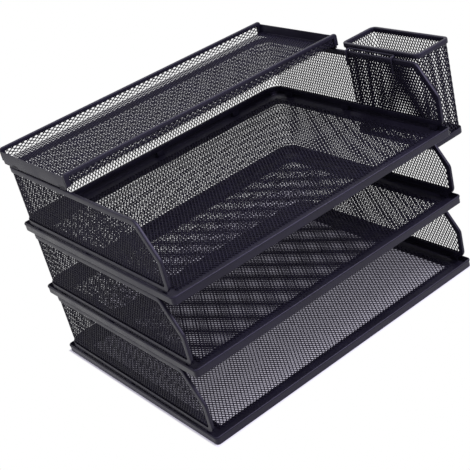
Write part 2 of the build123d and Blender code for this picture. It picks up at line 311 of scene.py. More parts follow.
class Folded:
    """A folded steel piece in the making: lofted strips and small tabs in one mesh."""

    def __init__(self) -> None:
        """Start with nothing."""
        self.bm = bmesh.new()

    def loft(self, rows: list[np.ndarray], closed: bool) -> list[bmesh.types.BMFace]:
        """Skin a closed section along a line.

        Args:
            rows: for each point of the section, its places along the line.
            closed: whether the line runs back into itself.

        Returns:
            The faces, strip by strip.
        """
        made = [[self.bm.verts.new(point) for point in row] for row in rows]
        count = len(rows[0])
        faces = []
        for row, near in enumerate(made):
            far = made[(row + 1) % len(made)]
            for place in range(count if closed else count - 1):
                ahead = (place + 1) % count
                corners = (near[place], near[ahead], far[ahead], far[place])
                faces.append(self.bm.faces.new(corners))
        if not closed:
            faces.append(self.bm.faces.new([row[0] for row in made]))
            faces.append(self.bm.faces.new([row[-1] for row in reversed(made)]))
        verts = [vert for row in made for vert in row]
        bmesh.ops.remove_doubles(self.bm, verts=verts, dist=SAME_POINT)
        left = [face for face in faces if face.is_valid]
        bmesh.ops.recalc_face_normals(self.bm, faces=left)
        return faces

    def pocket(self, faces: list[bmesh.types.BMFace], deep: float) -> None:
        """Press some level faces down into a pocket.

        Args:
            faces: the faces over the pocket.
            deep: its depth.
        """
        made = bmesh.ops.extrude_face_region(self.bm, geom=faces)["geom"]
        verts = [part for part in made if isinstance(part, bmesh.types.BMVert)]
        bmesh.ops.translate(self.bm, verts=verts, vec=(0.0, 0.0, -deep))
        left = [face for face in faces if face.is_valid]
        bmesh.ops.delete(self.bm, geom=left, context="FACES_ONLY")

    def tab(self, low: tuple[float, float, float], high: tuple[float, float, float],
            soft: float) -> None:
        """Add a small plate with softened edges.

        Args:
            low: lowest corner.
            high: highest corner.
            soft: width of the softened edges.
        """
        low_corner, high_corner = Vector(low), Vector(high)
        size = Matrix.Diagonal(high_corner - low_corner).to_4x4()
        place = Matrix.Translation((low_corner + high_corner) / 2) @ size
        verts = bmesh.ops.create_cube(self.bm, size=1.0, matrix=place)["verts"]
        edges = list({edge for vert in verts for edge in vert.link_edges})
        bmesh.ops.bevel(self.bm, geom=edges, offset=soft, segments=TAB_SPANS, affect="EDGES",
                        profile=0.5)

    def mesh(self, name: str) -> bpy.types.Mesh:
        """Finish the mesh, smooth but for its sharp folds.

        Args:
            name: the mesh's name.

        Returns:
            The mesh.
        """
        mesh = bpy.data.meshes.new(name)
        self.bm.to_mesh(mesh)
        self.bm.free()
        mesh.polygons.foreach_set("use_smooth", np.ones(len(mesh.polygons), dtype=bool))
        mesh.set_sharp_from_angle(angle=SHARP_FOLD)
        return mesh


def set_folded(node: str, work: Folded, body: Body) -> None:
    """Set a folded steel piece in place of its one solid."""
    set_piece(f"{node}_folded", work.mesh(node), body, FOLDED_STEEL, [node])


def set_drawn(node: str, sheet: bpy.types.Mesh, body: Body) -> None:
    """Set a drawn mesh sheet in place of its one solid."""
    set_piece(f"{node}_drawn", sheet, body, DRAWN_MESH, [node])


@dataclass(frozen=True)
class RoundedRing:
    """A rectangle with rounded corners that can be drawn in, down to sharp corners."""

    middle: tuple[float, float]
    half_width: float
    half_depth: float
    corner: float
    spans: int = 8

    def drawn_in(self, amount: float) -> np.ndarray:
        """Its points in plan, counter-clockwise.

        Args:
            amount: how far it is drawn in all round.

        Returns:
            The points, one row each.
        """
        radius = max(self.corner - amount, 0.0)
        points = []
        for quarter, (side, end) in enumerate(QUARTERS):
            centre_x = self.middle[0] + side * (self.half_width - amount - radius)
            centre_y = self.middle[1] + end * (self.half_depth - amount - radius)
            for angle in np.linspace(quarter, quarter + 1, self.spans + 1) * math.pi / 2:
                points.append((centre_x + radius * math.cos(angle),
                               centre_y + radius * math.sin(angle)))
        return np.array(points)

    def rows(self, section: np.ndarray) -> list[np.ndarray]:
        """Rows of a loft for a section of amounts drawn in and heights."""
        flat = [(self.drawn_in(amount), height) for amount, height in section]
        return [np.column_stack((points, np.full(len(points), z))) for points, z in flat]


@dataclass(frozen=True)
class ExpandedMesh:
    """Steel sheet slit and drawn into rows of diamond holes, each row half a hole along."""

    long_way: float = 5.8 * MM
    short_way: float = 3.42 * MM
    strand: float = 0.85 * MM
    crown: float = 0.36 * MM
    edge: float = 0.22 * MM

    def sheet(self, name: str, middle: tuple[float, float], size: tuple[float, float],
              upright: bool, place: Place, inside: Inside,
              round_cells: int = 0) -> bpy.types.Mesh:
        """Draw one sheet, strand by strand, with whole diamonds only.

        Args:
            name: the mesh's name.
            middle: a diamond's centre, in sheet coordinates.
            size: the sheet's extent in both coordinates.
            upright: whether the long way runs along the second coordinate.
            place: gives points and normals of sheet coordinates.
            inside: tells which sheet coordinates belong to the sheet.
            round_cells: diamonds round a sheet that closes on itself, or 0.

        Returns:
            A closed, smooth mesh with a flat texture map.
        """
        ways = (self.short_way, self.long_way) if upright else (self.long_way, self.short_way)
        half = np.array(ways) / 2
        if round_cells:
            half[0] = size[0] / round_cells / 2
        hole = 1 - self.strand * math.hypot(*half) / (2 * half[0] * half[1])
        across, along = [
            int(extent / step / 2) + SPARE_DIAMONDS for extent, step in zip(size, half)
        ]
        columns = np.arange(2 * round_cells) if round_cells else np.arange(-across, across + 1)
        column, row = np.meshgrid(columns, np.arange(-along, along + 1), indexing="ij")
        corners = np.array(((1, 0), (0, 1), (-1, 0), (0, -1)))
        kept = (column + row) % 2 == 0
        for step in corners:
            spots = np.array(middle) + np.stack((column + step[0], row + step[1]), -1) * half
            kept &= inside(spots[..., 0], spots[..., 1])
        cells = np.column_stack((column[kept], row[kept]))
        LOG.info("%s: %d diamonds", name, len(cells))

        # Neighbours share their knots: a knot's number comes from its column and row.
        wrap = 2 * round_cells if round_cells else COLUMN_KEYS
        shift = 0 if round_cells else COLUMN_KEYS // 2
        knots = cells[:, None, :] + corners[None]
        key = ((knots[..., 0] + shift) % wrap) * ROW_KEYS + knots[..., 1] + ROW_KEYS // 2
        _, first, which = np.unique(key, return_index=True, return_inverse=True)
        outer = which.reshape(-1, 4)
        knot_places = np.array(middle) + knots.reshape(-1, 2)[first] * half
        hole_corners = (cells[:, None, :] + hole * corners[None]) * half
        hole_places = np.array(middle) + hole_corners.reshape(-1, 2)
        knot_count, hole_count = len(knot_places), len(hole_places)
        flat = np.concatenate((knot_places, knot_places, hole_places, hole_places))
        lift = np.repeat((self.crown, -self.crown, self.edge, -self.edge),
                         (knot_count, knot_count, hole_count, hole_count))
        points, normals = place(flat[:, 0], flat[:, 1])
        inner = 2 * knot_count + np.arange(hole_count).reshape(-1, 4)

        # Each strand has a top, an underside and a side to its hole, and a side to the outside
        # where the sheet ends.
        ahead = np.array((1, 2, 3, 0))
        next_outer, next_inner = outer[:, ahead], inner[:, ahead]
        under_outer, under_inner = outer + knot_count, inner + hole_count
        next_under_outer, next_under_inner = next_outer + knot_count, next_inner + hole_count
        faces = [
            np.stack((outer, next_outer, next_inner, inner), -1),
            np.stack((under_inner, next_under_inner, next_under_outer, under_outer), -1),
            np.stack((inner, next_inner, next_under_inner, under_inner), -1),
        ]
        present = set(map(tuple, np.column_stack((cells[:, 0] % wrap, cells[:, 1]))))
        open_side = np.array([
            [((x + dx) % wrap, y + dy) not in present for dx, dy in QUARTERS]
            for x, y in cells.tolist()
        ])
        rim = np.stack((next_outer, outer, under_outer, next_under_outer), -1)[open_side]
        quads = np.concatenate([face.reshape(-1, 4) for face in faces] + [rim])
        return quad_mesh(name, points + normals * lift[:, None], quads, flat)


def quad_mesh(name: str, points: np.ndarray, quads: np.ndarray,
              flat: np.ndarray) -> bpy.types.Mesh:
    """Make a smooth mesh of quads with a flat texture map.

    Args:
        name: the mesh's name.
        points: the vertices.
        quads: four vertex numbers for each face.
        flat: each vertex's place in the flat sheet.

    Returns:
        The mesh.
    """
    mesh = bpy.data.meshes.new(name)
    mesh.vertices.add(len(points))
    mesh.vertices.foreach_set("co", points.astype(np.float32).ravel())
    mesh.loops.add(quads.size)
    mesh.loops.foreach_set("vertex_index", quads.astype(np.int32).ravel())
    mesh.polygons.add(len(quads))
    mesh.polygons.foreach_set("loop_start", np.arange(0, quads.size, 4, dtype=np.int32))
    mesh.polygons.foreach_set("use_smooth", np.ones(len(quads), dtype=bool))
    mesh.update(calc_edges=True)
    chart = mesh.uv_layers.new(name="OFBake")
    low, span = flat.min(axis=0), np.ptp(flat, axis=0).max()
    spots = ((flat - low) / span)[quads.ravel()]
    chart.data.foreach_set("uv", spots.astype(np.float32).ravel())
    return mesh


def flat_place(level: float) -> Place:
    """A level plane whose sheet coordinates are X and Y.

    Args:
        level: its height.

    Returns:
        A function from sheet coordinates to points and normals.
    """
    def place(across: np.ndarray, along: np.ndarray) -> tuple[np.ndarray, np.ndarray]:
        """Points of the plane and its upward normals."""
        points = np.column_stack((across, along, np.full(len(across), level)))
        return points, np.tile((0.0, 0.0, 1.0), (len(across), 1))
    return place


def rectangle(low: tuple[float, float], high: tuple[float, float]) -> Inside:
    """The inside of a rectangle in sheet coordinates.

    Args:
        low: its lowest corner.
        high: its highest corner.

    Returns:
        A function that tells which sheet coordinates lie in it.
    """
    def inside(across: np.ndarray, along: np.ndarray) -> np.ndarray:
        """Whether each place lies in the rectangle."""
        level = (across >= low[0]) & (across <= high[0])
        return level & (along >= low[1]) & (along <= high[1])
    return inside


def draw_floor(node: str, mesh: ExpandedMesh, body: Body, upright: bool) -> None:
    """Draw the level mesh sheet of one floor in place of its solid.

    Args:
        node: the floor's CAD node.
        mesh: the mesh that it is cut from.
        body: the body that it rides on.
        upright: whether the long way runs front to back.
    """
    low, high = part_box(node)
    middle = ((low[0] + high[0]) / 2, (low[1] + high[1]) / 2)
    size = (high[0] - low[0], high[1] - low[1])
    sheet = mesh.sheet(node, middle, size, upright, flat_place((low[2] + high[2]) / 2),
                       rectangle(low[:2], high[:2]))
    set_drawn(node, sheet, body)


@dataclass(frozen=True)
class StackingTabs:
    """Tabs that stack one tier on the next: a shoulder on the rail, a tongue in its pocket."""

    shoulder: float = 3.8 * MM
    length: float = 10.0 * MM
    tongue: float = 6.0 * MM
    tongue_depth: float = 1.0 * MM
    thick: float = 1.0 * MM
    play: float = 0.2 * MM
    soft_edge: float = 0.1 * MM
    tray_places: tuple[float, ...] = (-83.98 * MM, 14.0 * MM, 100.0 * MM)
    shelf_places: tuple[float, ...] = (14.0 * MM, 100.0 * MM)

    def hang(self, work: Folded, middle_x: float, places: tuple[float, ...], rail_top: float,
             top: float) -> None:
        """Hang the tabs of one side under a piece.

        Args:
            work: the piece in the making.
            middle_x: the middle of the rail below.
            places: the tabs' middles along the rail.
            rail_top: the height of the rail below.
            top: the height that the shoulders hang from.
        """
        near, far = middle_x - self.thick / 2, middle_x + self.thick / 2
        plates = ((self.length / 2, rail_top, top),
                  (self.tongue / 2, rail_top - self.tongue_depth, rail_top))
        for y in places:
            for half, low, high in plates:
                work.tab((near, y - half, low), (far, y + half, high), self.soft_edge)


@dataclass
class MeshTray:
    """One tray: a folded base frame, a mesh floor and one mesh wall in a rail round three sides."""

    tier: str
    level: float
    body: Body
    stands_on_tray: bool
    pocket_places: tuple[float, ...]
    mesh: ExpandedMesh = field(default_factory=ExpandedMesh)
    width: float = 320.0 * MM
    depth: float = 247.0 * MM
    sheet: float = 1.0 * MM
    base_height: float = 8.0 * MM
    base_band: float = 1.5 * MM
    base_corner: float = 4.0 * MM
    base_flange: float = 17.4 * MM
    flange_lift: float = 1.8 * MM
    fold: float = 0.5 * MM
    hem: float = 1.1 * MM
    hem_inside: float = 0.25 * MM
    hem_height: float = 2.1 * MM
    hem_proud: float = 0.5 * MM
    hem_groove: float = 0.1 * MM
    hem_under: float = 0.4 * MM
    wall_inset: float = 2.0 * MM
    wall_rise: float = 8.2 * MM
    wall_top: float = 68.0 * MM
    wall_corner: float = 14.0 * MM
    front_setback: float = 5.0 * MM
    front_height: float = 38.0 * MM
    slant_run: float = 22.5 * MM
    rail_width: float = 2.8 * MM
    rail_height: float = 5.0 * MM
    rail_web: float = 1.8 * MM
    rail_bend: float = 8.0 * MM
    rail_edge: float = 0.6 * MM
    rail_stations: int = 13
    slot_width: float = 1.4 * MM
    slot_play: float = 0.1 * MM
    foot_tab: float = 8.0 * MM
    side_foot_shares: tuple[float, ...] = (-0.425, 0.05, 0.4)
    back_foot_shares: tuple[float, ...] = (-0.31, 0.0, 0.31)
    stacking: StackingTabs = field(default_factory=StackingTabs)
    soft_edge: float = 0.3 * MM

    def __post_init__(self) -> None:
        """Work out the wall's middle line and its length laid flat."""
        self.wall_x = self.width / 2 - self.wall_inset - self.rail_width / 2
        self.wall_y = self.depth / 2 - self.wall_inset - self.rail_width / 2
        self.turn = self.wall_corner - self.rail_width / 2
        self.back_half = self.wall_x - self.turn
        self.side_start = self.back_half + self.turn * math.pi / 2
        self.front_edge = -self.depth / 2 + self.front_setback
        self.half_length = self.side_start + self.wall_y - self.turn - self.front_edge

    def build(self) -> None:
        """Build and dress every piece of the tray: the floor's long way runs front to back."""
        self.build_base_frame()
        draw_floor(f"{self.tier}_floor_mesh", self.mesh, self.body, True)
        self.build_wall()
        self.build_rail()

    def wall_place(self, along: np.ndarray, rise: np.ndarray) -> tuple[np.ndarray, np.ndarray]:
        """Wrap the flat wall round the tray.

        Args:
            along: place along the wall from the middle of the back, to the right.
            rise: height in the tray.

        Returns:
            Points on the wall's middle surface and normals to the inside.
        """
        run = np.abs(along)
        angle = np.clip((run - self.back_half) / self.turn, 0, math.pi / 2)
        side = np.where(along < 0, -1.0, 1.0)
        x = side * (np.minimum(run, self.back_half) + self.turn * np.sin(angle))
        past_corner = np.maximum(run - self.side_start, 0)
        y = self.wall_y - self.turn * (1 - np.cos(angle)) - past_corner
        points = np.column_stack((x, y, self.level + rise))
        normals = np.column_stack((-side * np.sin(angle), -np.cos(angle), np.zeros(len(x))))
        return points, normals

    def in_wall(self, along: np.ndarray, rise: np.ndarray) -> np.ndarray:
        """Tell which places lie in the flat wall, whose edges are hidden in the rail.

        Args:
            along: place along the wall from the middle of the back, to the right.
            rise: height in the tray.

        Returns:
            Whether each place lies in the sheet.
        """
        seat = self.rail_web + self.slot_play
        climb = self.wall_top - self.front_height
        slant = math.hypot(climb, self.slant_run)
        run = np.abs(along) - self.half_length
        clear = (-run * climb - (rise - self.front_height) * self.slant_run) / slant
        level = (rise >= self.wall_rise + seat) & (rise <= self.wall_top - seat)
        return level & (run <= -seat) & (clear >= seat)

    def build_base_frame(self) -> None:
        """Fold the base: a band with a rolled hem, and a wide flange that carries the floor."""
        ring = RoundedRing((0.0, 0.0), self.width / 2, self.depth / 2, self.base_corner)
        hem_foot, flange_top = self.base_height - self.hem_height, self.flange_lift + self.sheet
        section = soft_section([
            (self.hem_proud, 0.0, self.fold),
            (self.hem_proud, hem_foot, self.hem_groove),
            (0.0, hem_foot, self.hem_under),
            (0.0, self.base_height, self.hem),
            (self.base_band, self.base_height, self.hem_inside),
            (self.base_band, flange_top, self.soft_edge),
            (self.base_flange, flange_top, self.soft_edge),
            (self.base_flange, self.flange_lift, self.soft_edge),
            (self.base_band, self.flange_lift, self.soft_edge),
            (self.base_band, 0.0, self.fold),
        ])
        work = Folded()
        work.loft(ring.rows(section + (0.0, self.level)), closed=True)
        if self.stands_on_tray:
            hung_from = self.level + self.flange_lift
            for side in (-1, 1):
                self.stacking.hang(work, side * self.wall_x, self.stacking.tray_places,
                                   hung_from - self.stacking.shoulder, hung_from)
        set_folded(f"{self.tier}_base_frame", work, self.body)

    def build_wall(self) -> None:
        """Draw the one mesh sheet of the left, back and right walls, its long way upright."""
        middle = (self.wall_rise + self.wall_top) / 2
        size = (2 * self.half_length, self.wall_top - self.wall_rise)
        sheet = self.mesh.sheet(f"{self.tier}_wall", (0.0, middle), size, True, self.wall_place,
                                self.in_wall)
        nodes = [f"{self.tier}_{side}_mesh" for side in ("left", "back", "right")]
        set_piece(f"{self.tier}_wall_mesh_drawn", sheet, self.body, DRAWN_MESH, nodes)

    def pocket_runs(self) -> list[tuple[float, float]]:
        """Find the pockets along the flat wall.

        Returns:
            Start and end of each pocket.
        """
        half = self.stacking.tongue / 2 + self.stacking.play
        runs = [self.half_length + self.front_edge - y for y in self.pocket_places]
        return [(side * run - half, side * run + half) for side in (-1, 1) for run in runs]

    def rail_line(self) -> np.ndarray:
        """Trace the rail's outer edge in the flat wall, with round bends.

        Returns:
            Its points, close together round the rear corners and at the pockets' ends.
        """
        end, low, high = self.half_length, self.wall_rise, self.wall_top
        stations = np.linspace(self.back_half, self.side_start, self.rail_stations)
        rear = np.concatenate((-stations[::-1], stations))
        top = np.sort(np.concatenate((rear, np.array(self.pocket_runs()).ravel())))
        # Each corner, with the stations on the level run that follows it.
        plain = np.array(())
        runs = (
            ((-end, low), rear), ((end, low), plain), ((end, self.front_height), plain),
            ((end - self.slant_run, high), top[::-1]), ((self.slant_run - end, high), plain),
            ((-end, self.front_height), plain))
        corners = [np.array(corner) for corner, _ in runs]
        line = []
        for here, (corner, (_, follow)) in enumerate(zip(corners, runs)):
            after = corners[(here + 1) % len(corners)]
            line += bend(corners[here - 1], corner, after, self.rail_bend, BEND_SPANS)
            line += [np.array((along, corner[1])) for along in follow]
        return np.array(line)

    def build_rail(self) -> None:
        """Bend the channel rail round the wall's whole edge, and stand it on its foot tabs."""
        line = self.rail_line()
        step = np.roll(line, -1, axis=0) - np.roll(line, 1, axis=0)
        step /= np.linalg.norm(step, axis=1)[:, None]
        points, inward = self.wall_place(line[:, 0], line[:, 1])
        onward = np.column_stack((-inward[:, 1], inward[:, 0], np.zeros(len(line))))
        into = -step[:, 1][:, None] * onward + np.outer(step[:, 0], (0.0, 0.0, 1.0))
        section = channel_section(self.rail_width / 2, self.slot_width / 2, self.rail_web,
                                  self.rail_height, self.rail_edge, self.soft_edge)
        work = Folded()
        rows = [points + across * inward + depth * into for across, depth in section]
        faces = work.loft(rows, closed=True)
        # The strip after the first fold is the rail's flat back, which the pockets are sunk in.
        crown = faces[CORNER_SPANS * len(line):(CORNER_SPANS + 1) * len(line)]
        middle = (line + np.roll(line, -1, axis=0)) / 2
        on_top = middle[:, 1] > self.wall_top - self.sheet
        for start, end in self.pocket_runs():
            over = (middle[:, 0] > start) & (middle[:, 0] < end) & on_top
            work.pocket([crown[place] for place in np.flatnonzero(over)],
                        self.stacking.tongue_depth + self.stacking.play)
        self.add_feet(work)
        parts = ("left_rim", "right_rim", "back_top_rail", "back_bottom_rail")
        nodes = [f"{self.tier}_{part}" for part in parts]
        set_piece(f"{self.tier}_wall_rail_bent", work.mesh(nodes[0]), self.body,
                  FOLDED_STEEL, nodes)

    def add_feet(self, work: Folded) -> None:
        """Add the foot tabs that stand the rail on the flange, against the band.

        Args:
            work: the rail in the making.
        """
        half, low = self.foot_tab / 2, self.level + self.flange_lift + self.sheet
        high = self.level + self.wall_rise + self.soft_edge
        inner_x, outer_x = self.wall_x - self.rail_width / 2, self.width / 2 - self.base_band
        inner_y, outer_y = self.wall_y - self.rail_width / 2, self.depth / 2 - self.base_band
        for share in self.side_foot_shares:
            y = share * self.depth
            for side in (-1, 1):
                ends = sorted((side * inner_x, side * outer_x))
                work.tab((ends[0], y - half, low), (ends[1], y + half, high), self.soft_edge)
        for share in self.back_foot_shares:
            x = share * self.width
            work.tab((x - half, inner_y, low), (x + half, outer_y, high), self.soft_edge)


@dataclass
class TopShelf:
    """The shelf over the top tray's rear half: a mesh floor, two rimmed lips and two end bands."""

    mesh: ExpandedMesh = field(default_factory=ExpandedMesh)
    sheet: float = 1.0 * MM
    rim_web: float = 1.4 * MM
    rim_top: float = 3.8 * MM
    rim_end: float = 4.5 * MM
    rim_corner: float = 3.0 * MM
    rim_edge: float = 0.7 * MM
    rim_spans: int = 6
    slot_width: float = 1.4 * MM
    band_lift: float = 4.0 * MM
    skirt_lift: float = 1.2 * MM
    band_foot: float = 8.0 * MM
    stack_top: float = 208.0 * MM
    stacking: StackingTabs = field(default_factory=StackingTabs)
    soft_edge: float = 0.3 * MM

    def build(self) -> None:
        """Build and dress every piece of the shelf: its floor's long way runs along it."""
        draw_floor("shelf_floor_mesh", self.mesh, Body.SHELF, False)
        for lip in ("front", "rear"):
            self.build_lip_rim(lip)
            self.build_lip_mesh(lip)
        for side, side_name in ((-1, "left"), (1, "right")):
            self.build_end_band(side, side_name)

    def build_lip_mesh(self, lip: str) -> None:
        """Draw the upright mesh strip of one lip.

        Args:
            lip: the lip's name.
        """
        name = f"shelf_{lip}_lip_mesh"
        low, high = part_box(name)
        middle_y = (low[1] + high[1]) / 2

        def place(across: np.ndarray, rise: np.ndarray) -> tuple[np.ndarray, np.ndarray]:
            """Points of the upright strip and its normals to the front."""
            points = np.column_stack((across, np.full(len(across), middle_y), rise))
            return points, np.tile((0.0, -1.0, 0.0), (len(across), 1))

        middle = ((low[0] + high[0]) / 2, (low[2] + high[2]) / 2)
        size = (high[0] - low[0], high[2] - low[2])
        sheet = self.mesh.sheet(name, middle, size, False, place,
                                rectangle((low[0], low[2]), (high[0], high[2])))
        set_drawn(name, sheet, Body.SHELF)

    def build_lip_rim(self, lip: str) -> None:
        """Fold the channel rim over the top and both ends of one lip.

        Args:
            lip: the lip's name.
        """
        name = f"shelf_{lip}_lip_rim"
        low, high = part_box(name)
        middle_y, half = (low[1] + high[1]) / 2, (high[1] - low[1]) / 2
        section = channel_section(half, self.slot_width / 2, self.rim_web, self.rim_top,
                                  self.rim_edge, self.soft_edge)
        rows = []
        for across, depth in section:
            radius = max(self.rim_corner - depth, 0.0)
            end, top = depth * self.rim_end / self.rim_top, high[2] - depth
            line = [(low[0] + end, low[2])]
            for centre_x, quarter in ((low[0] + end + radius, 2), (high[0] - end - radius, 1)):
                for angle in np.linspace(quarter, quarter - 1, self.rim_spans + 1) * math.pi / 2:
                    line.append((centre_x + radius * math.cos(angle),
                                 top - radius + radius * math.sin(angle)))
            line.append((high[0] - end, low[2]))
            rows.append(np.array([(x, middle_y + across, z) for x, z in line]))
        work = Folded()
        work.loft(rows, closed=False)
        set_folded(name, work, Body.SHELF)

    def build_end_band(self, side: int, side_name: str) -> None:
        """Fold the plain end band with its foot, and hang its stacking tabs below it.

        Args:
            side: -1 for the left end, 1 for the right.
            side_name: the end's name.
        """
        name = f"shelf_{side_name}_end_band"
        low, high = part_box(name)
        face = high[0] if side > 0 else low[0]
        inner, toe = face - side * self.sheet, face - side * self.band_foot
        bottom, skirt = self.stack_top + self.band_lift, self.stack_top + self.skirt_lift
        section = soft_section([(x, z, self.soft_edge) for x, z in (
            (face, skirt), (face, high[2]), (inner, high[2]), (inner, bottom + self.sheet),
            (toe, bottom + self.sheet), (toe, bottom), (inner, bottom), (inner, skirt))])
        work = Folded()
        rows = [np.array([(x, y, z) for y in (low[1], high[1])]) for x, z in section]
        work.loft(rows, closed=False)
        self.stacking.hang(work, face - side * self.sheet / 2, self.stacking.shelf_places,
                           self.stack_top, bottom)
        set_folded(name, work, Body.SHELF)


@dataclass
class PenCup:
    """The pen cup: a mesh wall in one loop, a folded rim, base and floor, and a bent wire."""

    mesh: ExpandedMesh = field(default_factory=ExpandedMesh)
    sheet: float = 1.0 * MM
    corner: float = 5.0 * MM
    ledge: float = 1.5 * MM
    base_flange: float = 7.0 * MM
    rim_leaf: float = 1.0 * MM
    slot_width: float = 1.4 * MM
    slot_play: float = 0.2 * MM
    fold: float = 0.8 * MM
    soft_edge: float = 0.3 * MM
    wire: float = 2.0 * MM
    wire_bend: float = 2.4 * MM
    wire_sides: int = 16

    def build(self) -> None:
        """Build and dress every piece of the cup: its floor's long way runs front to back."""
        self.build_wall()
        self.build_rim()
        self.build_base()
        draw_floor("cup_floor_mesh", self.mesh, Body.CUP, True)
        self.build_hanger()

    def build_wall(self) -> None:
        """Draw the cup's wall as one closed loop of mesh, its long way upright."""
        name = "cup_wall_mesh"
        low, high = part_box(name)
        turn = self.corner - self.sheet / 2
        half_x, half_y = [(high[axis] - low[axis] - self.sheet) / 2 - turn for axis in (0, 1)]
        centre = [(high[axis] + low[axis]) / 2 for axis in (0, 1)]
        quarter = turn * math.pi / 2
        runs = np.array((2 * half_y, quarter, 2 * half_x, quarter) * 2)
        starts = np.concatenate(((0.0,), np.cumsum(runs)))
        corners = np.array(QUARTERS)

        def place(along: np.ndarray, rise: np.ndarray) -> tuple[np.ndarray, np.ndarray]:
            """Wrap the flat wall into a loop.

            Args:
                along: place along the loop, from the front right corner on.
                rise: height.

            Returns:
                Points on the wall's middle surface and normals to the outside.
            """
            run = np.mod(along, starts[-1])
            part = np.clip(np.searchsorted(starts, run, side="right") - 1, 0, len(runs) - 1)
            share = (run - starts[part]) / runs[part]
            sides, is_bend = part // 2, part % 2
            angle = (sides + share * is_bend) * math.pi / 2
            normals = np.column_stack((np.cos(angle), np.sin(angle), np.zeros(len(run))))
            first, second = corners[(sides - 1) % len(corners)], corners[sides]
            straight = first + (second - first) * share[:, None]
            anchor = np.where(is_bend[:, None] == 1, second, straight)
            flat = np.array(centre) + anchor * (half_x, half_y) + turn * normals[:, :2]
            return np.column_stack((flat, rise)), normals

        def inside(along: np.ndarray, rise: np.ndarray) -> np.ndarray:
            """Whether each height lies in the wall."""
            return (rise >= low[2]) & (rise <= high[2])

        cells = round(starts[-1] / self.mesh.short_way)
        middle, size = (0.0, (low[2] + high[2]) / 2), (starts[-1], high[2] - low[2])
        sheet = self.mesh.sheet(name, middle, size, True, place, inside, cells)
        set_drawn(name, sheet, Body.CUP)

    def set_ring(self, name: str, corner: float, section: np.ndarray) -> None:
        """Loft a section round the outline of a ring-shaped solid, and set it in its place.

        Args:
            name: the ring's CAD node.
            corner: radius of its outer corners.
            section: amounts drawn in and heights.
        """
        low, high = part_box(name)
        middle = ((low[0] + high[0]) / 2, (low[1] + high[1]) / 2)
        ring = RoundedRing(middle, (high[0] - low[0]) / 2, (high[1] - low[1]) / 2, corner)
        work = Folded()
        work.loft(ring.rows(section), closed=True)
        set_folded(name, work, Body.CUP)

    def build_rim(self) -> None:
        """Fold the rim over the top edge of the wall."""
        name = "cup_rim"
        low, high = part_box(name)
        width, roof = self.slot_width + 2 * self.rim_leaf, high[2] - self.rim_leaf
        section = soft_section([
            (0.0, low[2], self.soft_edge), (0.0, high[2], self.fold),
            (width, high[2], self.fold), (width, low[2], self.soft_edge),
            (width - self.rim_leaf, low[2], self.soft_edge), (width - self.rim_leaf, roof, 0.0),
            (self.rim_leaf, roof, 0.0), (self.rim_leaf, low[2], self.soft_edge),
        ])
        self.set_ring(name, self.corner + self.rim_leaf + self.slot_play, section)

    def build_base(self) -> None:
        """Fold the base: a low band round the wall with a flange inside."""
        name = "cup_base_frame"
        low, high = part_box(name)
        flange_top = low[2] + self.sheet
        section = soft_section([
            (0.0, low[2], self.fold), (0.0, high[2], self.soft_edge),
            (self.sheet, high[2], self.soft_edge), (self.sheet, flange_top, self.soft_edge),
            (self.base_flange, flange_top, self.soft_edge),
            (self.base_flange, low[2], self.soft_edge),
        ])
        self.set_ring(name, self.corner + self.ledge, section)

    def build_hanger(self) -> None:
        """Bend the wire: two hooks over the tray's rail, joined by a run along the cup's rim."""
        name = "cup_hanger"
        low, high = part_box(name)
        half = self.wire / 2
        x_in, x_out, top = low[0] + half, high[0] - half, high[2] - half
        front, rear = low[1] + half, high[1] - half
        corners = [np.array(point) for point in (
            (x_in, front, low[2]), (x_in, front, top), (x_out, front, top),
            (x_out, rear, top), (x_in, rear, top), (x_in, rear, low[2]))]
        line = [corners[0]]
        for before, corner, after in zip(corners, corners[1:], corners[2:]):
            line += bend(before, corner, after, self.wire_bend, BEND_SPANS)
        line.append(corners[-1])
        path = np.array(line)
        tangents = np.gradient(path, axis=0)
        tangents /= np.linalg.norm(tangents, axis=1)[:, None]
        # One side direction is carried along the wire, so that its skin doesn't twist.
        side = np.array((0.0, 1.0, 0.0))
        frames = []
        for tangent in tangents:
            side = side - tangent * (side @ tangent)
            side = side / np.linalg.norm(side)
            frames.append((side, np.cross(tangent, side)))
        rows = []
        for angle in np.linspace(0, 2 * math.pi, self.wire_sides, endpoint=False):
            rows.append(np.array([
                point + half * (math.cos(angle) * first + math.sin(angle) * second)
                for point, (first, second) in zip(path, frames)]))
        work = Folded()
        work.loft(rows, closed=False)
        set_piece(f"{name}_bent", work.mesh(name), Body.CUP, BENT_WIRE, [name])


@dataclass(frozen=True)
class SoftBox:
    """A square soft lamp that is aimed at the object."""

    name: str
    spot: tuple[float, float, float]
    size: float
    power: float


